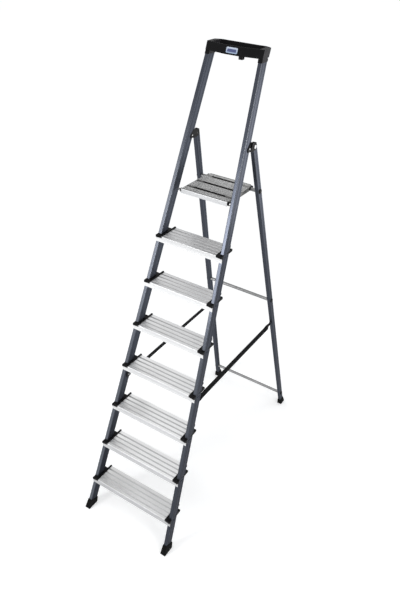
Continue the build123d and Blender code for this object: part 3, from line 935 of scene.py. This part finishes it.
def makeCollarTree():
    tree, start, end = startTree("headCollars", Material="Material", Collar_Radius="Float",
                                 Bead_Radius="Float")
    inputs = start.outputs
    path = add(tree, "GeometryNodeCurvePrimitiveCircle", {
        "Resolution": heads["collarSteps"], "Radius": inputs["Collar Radius"]})
    bead = add(tree, "GeometryNodeCurvePrimitiveCircle", {
        "Resolution": heads["beadSteps"], "Radius": inputs["Bead Radius"]})
    collar = add(tree, "GeometryNodeCurveToMesh", {
        "Curve": path.outputs["Curve"], "Profile Curve": bead.outputs["Curve"]})
    aim = add(tree, "GeometryNodeInputNamedAttribute", {"Name": "aim"}, data_type="FLOAT_VECTOR")
    grow = add(tree, "GeometryNodeInputNamedAttribute", {"Name": "grow"}, data_type="FLOAT")
    turn = add(tree, "FunctionNodeAlignRotationToVector", {"Vector": aim.outputs[0]}, axis="Z")
    collars = add(tree, "GeometryNodeInstanceOnPoints", {
        "Points": inputs["Geometry"], "Instance": collar.outputs[0], "Rotation": turn.outputs[0],
        "Scale": grow.outputs[0]})
    closeTree(tree, end, collars.outputs[0], inputs["Material"])
    return tree


collarTree = makeCollarTree()


def bothSides(rows):
    # (top, aim, grow) of the right side and their mirror images
    flip = Vector((-1.0, 1.0, 1.0))
    return rows + [(top * flip, aim * flip, grow) for top, aim, grow in rows]


def stileSides():
    # outward and backward from the right stile
    run = Vector(ladder["stileRun"]).normalized()
    out = (Vector((1.0, 0.0, 0.0)) - run * run.x).normalized()
    return out, run.cross(out)


def stileHeads():
    out, back = stileSides()
    rows = []
    for level in treadLevels():
        seat = stileAt(level - heads["treadDrop"]) + out * (heads["stileHalf"] + heads["flatHead"])
        rows += [(seat + back * heads["treadRow"] * side, out, 1.0) for side in (-1, 1)]
    return bothSides(rows)


def steelHeads():
    out, back = stileSides()
    right = Vector((1.0, 0.0, 0.0))
    dome = heads["domeHead"]
    return bothSides([
        (Vector(heads["bracketRivet"]) + out * dome, out, 1.0),
        (Vector(heads["hingePin"]) + right * heads["pinHead"], right, heads["pinGrow"]),
        (stileAt(heads["screwHeight"]) + back * (heads["screwDepth"] + dome), back, 1.0),
        (Vector(heads["strapSeatFront"]) - right * dome, -right, 1.0),
    ])


def legHeads():
    right = Vector((1.0, 0.0, 0.0))
    return bothSides([(Vector(heads["strapSeatRear"]) - right * heads["domeHead"], -right, 1.0)])


def makeCollars(rows, finish):
    tops, aims, grows = zip(*rows)
    base = pointsObject("headTops", tops, aim=aims, grow=grows)
    return runTree(collarTree, base, {
        "Material": finish, "Collar Radius": heads["collar"], "Bead Radius": heads["bead"]})


stileCollars = makeCollars(stileHeads(), rivetFinish)
addPiece("stile_rivet_collars", stileCollars, "front_frame")
steelCollars = makeCollars(steelHeads(), zincFinish)
addPiece("steel_head_collars", steelCollars, "front_frame")
legCollars = makeCollars(legHeads(), zincFinish)
addPiece("leg_rivet_collars", legCollars, "rear_frame")
print("rivet, screw and pin heads finished")


# webbing straps: a front and a rear half meet in the middle, each carried by its own frame
straps = {
    "front": Vector((0.217692, -0.416999, 0.838)),
    "rear": Vector((0.213656, 0.485517, 0.844)),
    "hinge": Vector((0.0, 0.0986376, 2.0912489)),
    "fold": math.radians(36.5),
    "width": 0.025,
    "thickness": 0.0019,
    "edge": 0.0008,  # rounding of the selvedges
    "overhang": 0.014,
    "hold": 0.018,  # flat against the frame beyond each rivet
    "twistRun": 0.07,
    "turn": math.radians(-81.0),  # of the run between the twists, upper edge inward
    "inset": (0.0045, -0.0045),  # of the run, inside the front and the rear rivet
    "rise": 0.002,  # the twisted run bows a little
    "step": 0.007,
    "tongue": 0.028,  # of the rear half, inside the front half
    "tongueThin": 0.88,
    "tongueNarrow": 0.988,
    "tongueRings": (0.0, 0.5, 0.98),  # shares of its length
}


def strapStation(along):
    # middle, direction across the webbing and direction through it
    look = straps
    run = look["rear"] - look["front"]
    length = run.length
    run.normalize()
    nearest = min(along, length - along)
    share = min(max((nearest - look["hold"]) / look["twistRun"], 0.0), 1.0)
    share *= share * (3.0 - 2.0 * share)
    angle = look["turn"] * share
    side = run.cross(Vector((0.0, 0.0, 1.0)))
    inner = min(max(along / length, 0.0), 1.0)
    inset = look["inset"][0] * (1.0 - inner) + look["inset"][1] * inner
    middle = look["front"] + run * along - Vector((inset * share, 0.0, 0.0))
    middle.z += look["rise"] * (4.0 * inner * (1.0 - inner)) ** 2
    wide = Vector((0.0, 0.0, 1.0)) * math.cos(angle) + side * math.sin(angle)
    return middle, wide, run.cross(wide)


def webbingOutline(width, thickness):
    half, thin, edge = width / 2, thickness / 2, straps["edge"]
    upper = [(-half, thin / 2), (-half + edge, thin), (-half / 2, thin), (0.0, thin),
             (half / 2, thin), (half - edge, thin), (half, thin / 2)]
    return upper + [(across, -through) for across, through in reversed(upper)]


def makeStrapHalf(name, first, last, mirrored, tongueTo=None):
    look = straps
    count = max(2, round((last - first) / look["step"]))
    stations = [(first + (last - first) * step / count, 1.0, 1.0) for step in range(count + 1)]
    if tongueTo is not None:
        narrow, thin = look["tongueNarrow"], look["tongueThin"]
        inside = [tongueTo + (first - tongueTo) * share for share in look["tongueRings"]]
        stations = [(along, narrow, thin) for along in inside] + stations
    shape = bmesh.new()
    weaveMap = shape.loops.layers.uv.new("weaveMap")
    rings = []
    for along, narrow, thin in stations:
        middle, wide, through = strapStation(along)
        ring = []
        for across, deep in webbingOutline(look["width"] * narrow, look["thickness"] * thin):
            place = middle + wide * across + through * deep
            ring.append(shape.verts.new((-place.x if mirrored else place.x, place.y, place.z)))
        rings.append((along / look["width"], ring))
    outline = webbingOutline(look["width"], look["thickness"])
    around = [across / look["width"] + 0.5 for across, through in outline]
    size = len(around)
    for (low, near), (high, far) in zip(rings, rings[1:]):
        for here in range(size):
            there = (here + 1) % size
            face = shape.faces.new((near[here], near[there], far[there], far[here]))
            face.smooth = True
            corners = ((around[here], low), (around[there], low),
                       (around[there], high), (around[here], high))
            for loop, corner in zip(face.loops, corners):
                loop[weaveMap].uv = corner
    for ring in (rings[0][1], rings[-1][1]):
        shape.faces.new(ring)
    bmesh.ops.recalc_face_normals(shape, faces=shape.faces)
    mesh = bpy.data.meshes.new(name)
    shape.to_mesh(mesh)
    shape.free()
    mesh.materials.append(webbingFinish)
    return mesh


def foldHalf(piece):
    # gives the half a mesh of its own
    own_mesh(piece)


def makeStraps():
    look = straps
    length = (look["rear"] - look["front"]).length
    for side, mirrored in (("left", True), ("right", False)):
        front = makeStrapHalf(side + "StrapFront", -look["overhang"], length / 2, mirrored)
        rear = makeStrapHalf(side + "StrapRear", length / 2, length + look["overhang"], mirrored,
                             length / 2 - look["tongue"])
        frontPiece = addPiece(side + "_strap_front", front, "front_frame")
        rearPiece = addPiece(side + "_strap_rear", rear, "rear_frame")
        for piece in (frontPiece, rearPiece):
            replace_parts(piece, side + "_strap")
        foldHalf(frontPiece)
        foldHalf(rearPiece)


makeStraps()
print("webbing straps made")


# label film with rounded corners on the tray's front
def makeLabel():
    look = label
    up = Vector((0.0, math.sin(look["lean"]), math.cos(look["lean"])))
    out = Vector((0.0, -math.cos(look["lean"]), math.sin(look["lean"])))
    right = Vector((1.0, 0.0, 0.0))
    shape = bmesh.new()
    filmMap = shape.loops.layers.uv.new("filmMap")
    flat = {}
    rings = []
    edge = look["edgeRound"]
    flatX, flatY = (length / 2 - look["corner"] for length in look["size"])
    for lift, inset in ((0.0, 0.0), (look["thickness"] - edge, 0.0), (look["thickness"], edge)):
        ring = []
        for quarter, (sideX, sideY) in enumerate(((1, 1), (-1, 1), (-1, -1), (1, -1))):
            for step in range(look["cornerSteps"] + 1):
                angle = math.pi / 2 * (quarter + step / look["cornerSteps"])
                x = sideX * flatX + math.cos(angle) * (look["corner"] - inset)
                y = sideY * flatY + math.sin(angle) * (look["corner"] - inset)
                vert = shape.verts.new(Vector(look["middle"]) + right * x + up * y + out * lift)
                flat[vert] = (x, y)
                ring.append(vert)
        rings.append(ring)
    for near, far in zip(rings, rings[1:]):
        for here, vert in enumerate(near):
            there = (here + 1) % len(near)
            shape.faces.new((vert, near[there], far[there], far[here]))
    shape.faces.new(rings[-1])
    shape.faces.new(list(reversed(rings[0])))
    bmesh.ops.recalc_face_normals(shape, faces=shape.faces)
    for face in shape.faces:
        for loop in face.loops:
            loop[filmMap].uv = flat[loop.vert]
    mesh = bpy.data.meshes.new("trayLabelFilm")
    shape.to_mesh(mesh)
    shape.free()
    mesh.materials.append(labelFinish)
    return mesh


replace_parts(addPiece("tray_label_film", makeLabel(), "front_frame"), "tray_label")
print("label film made")
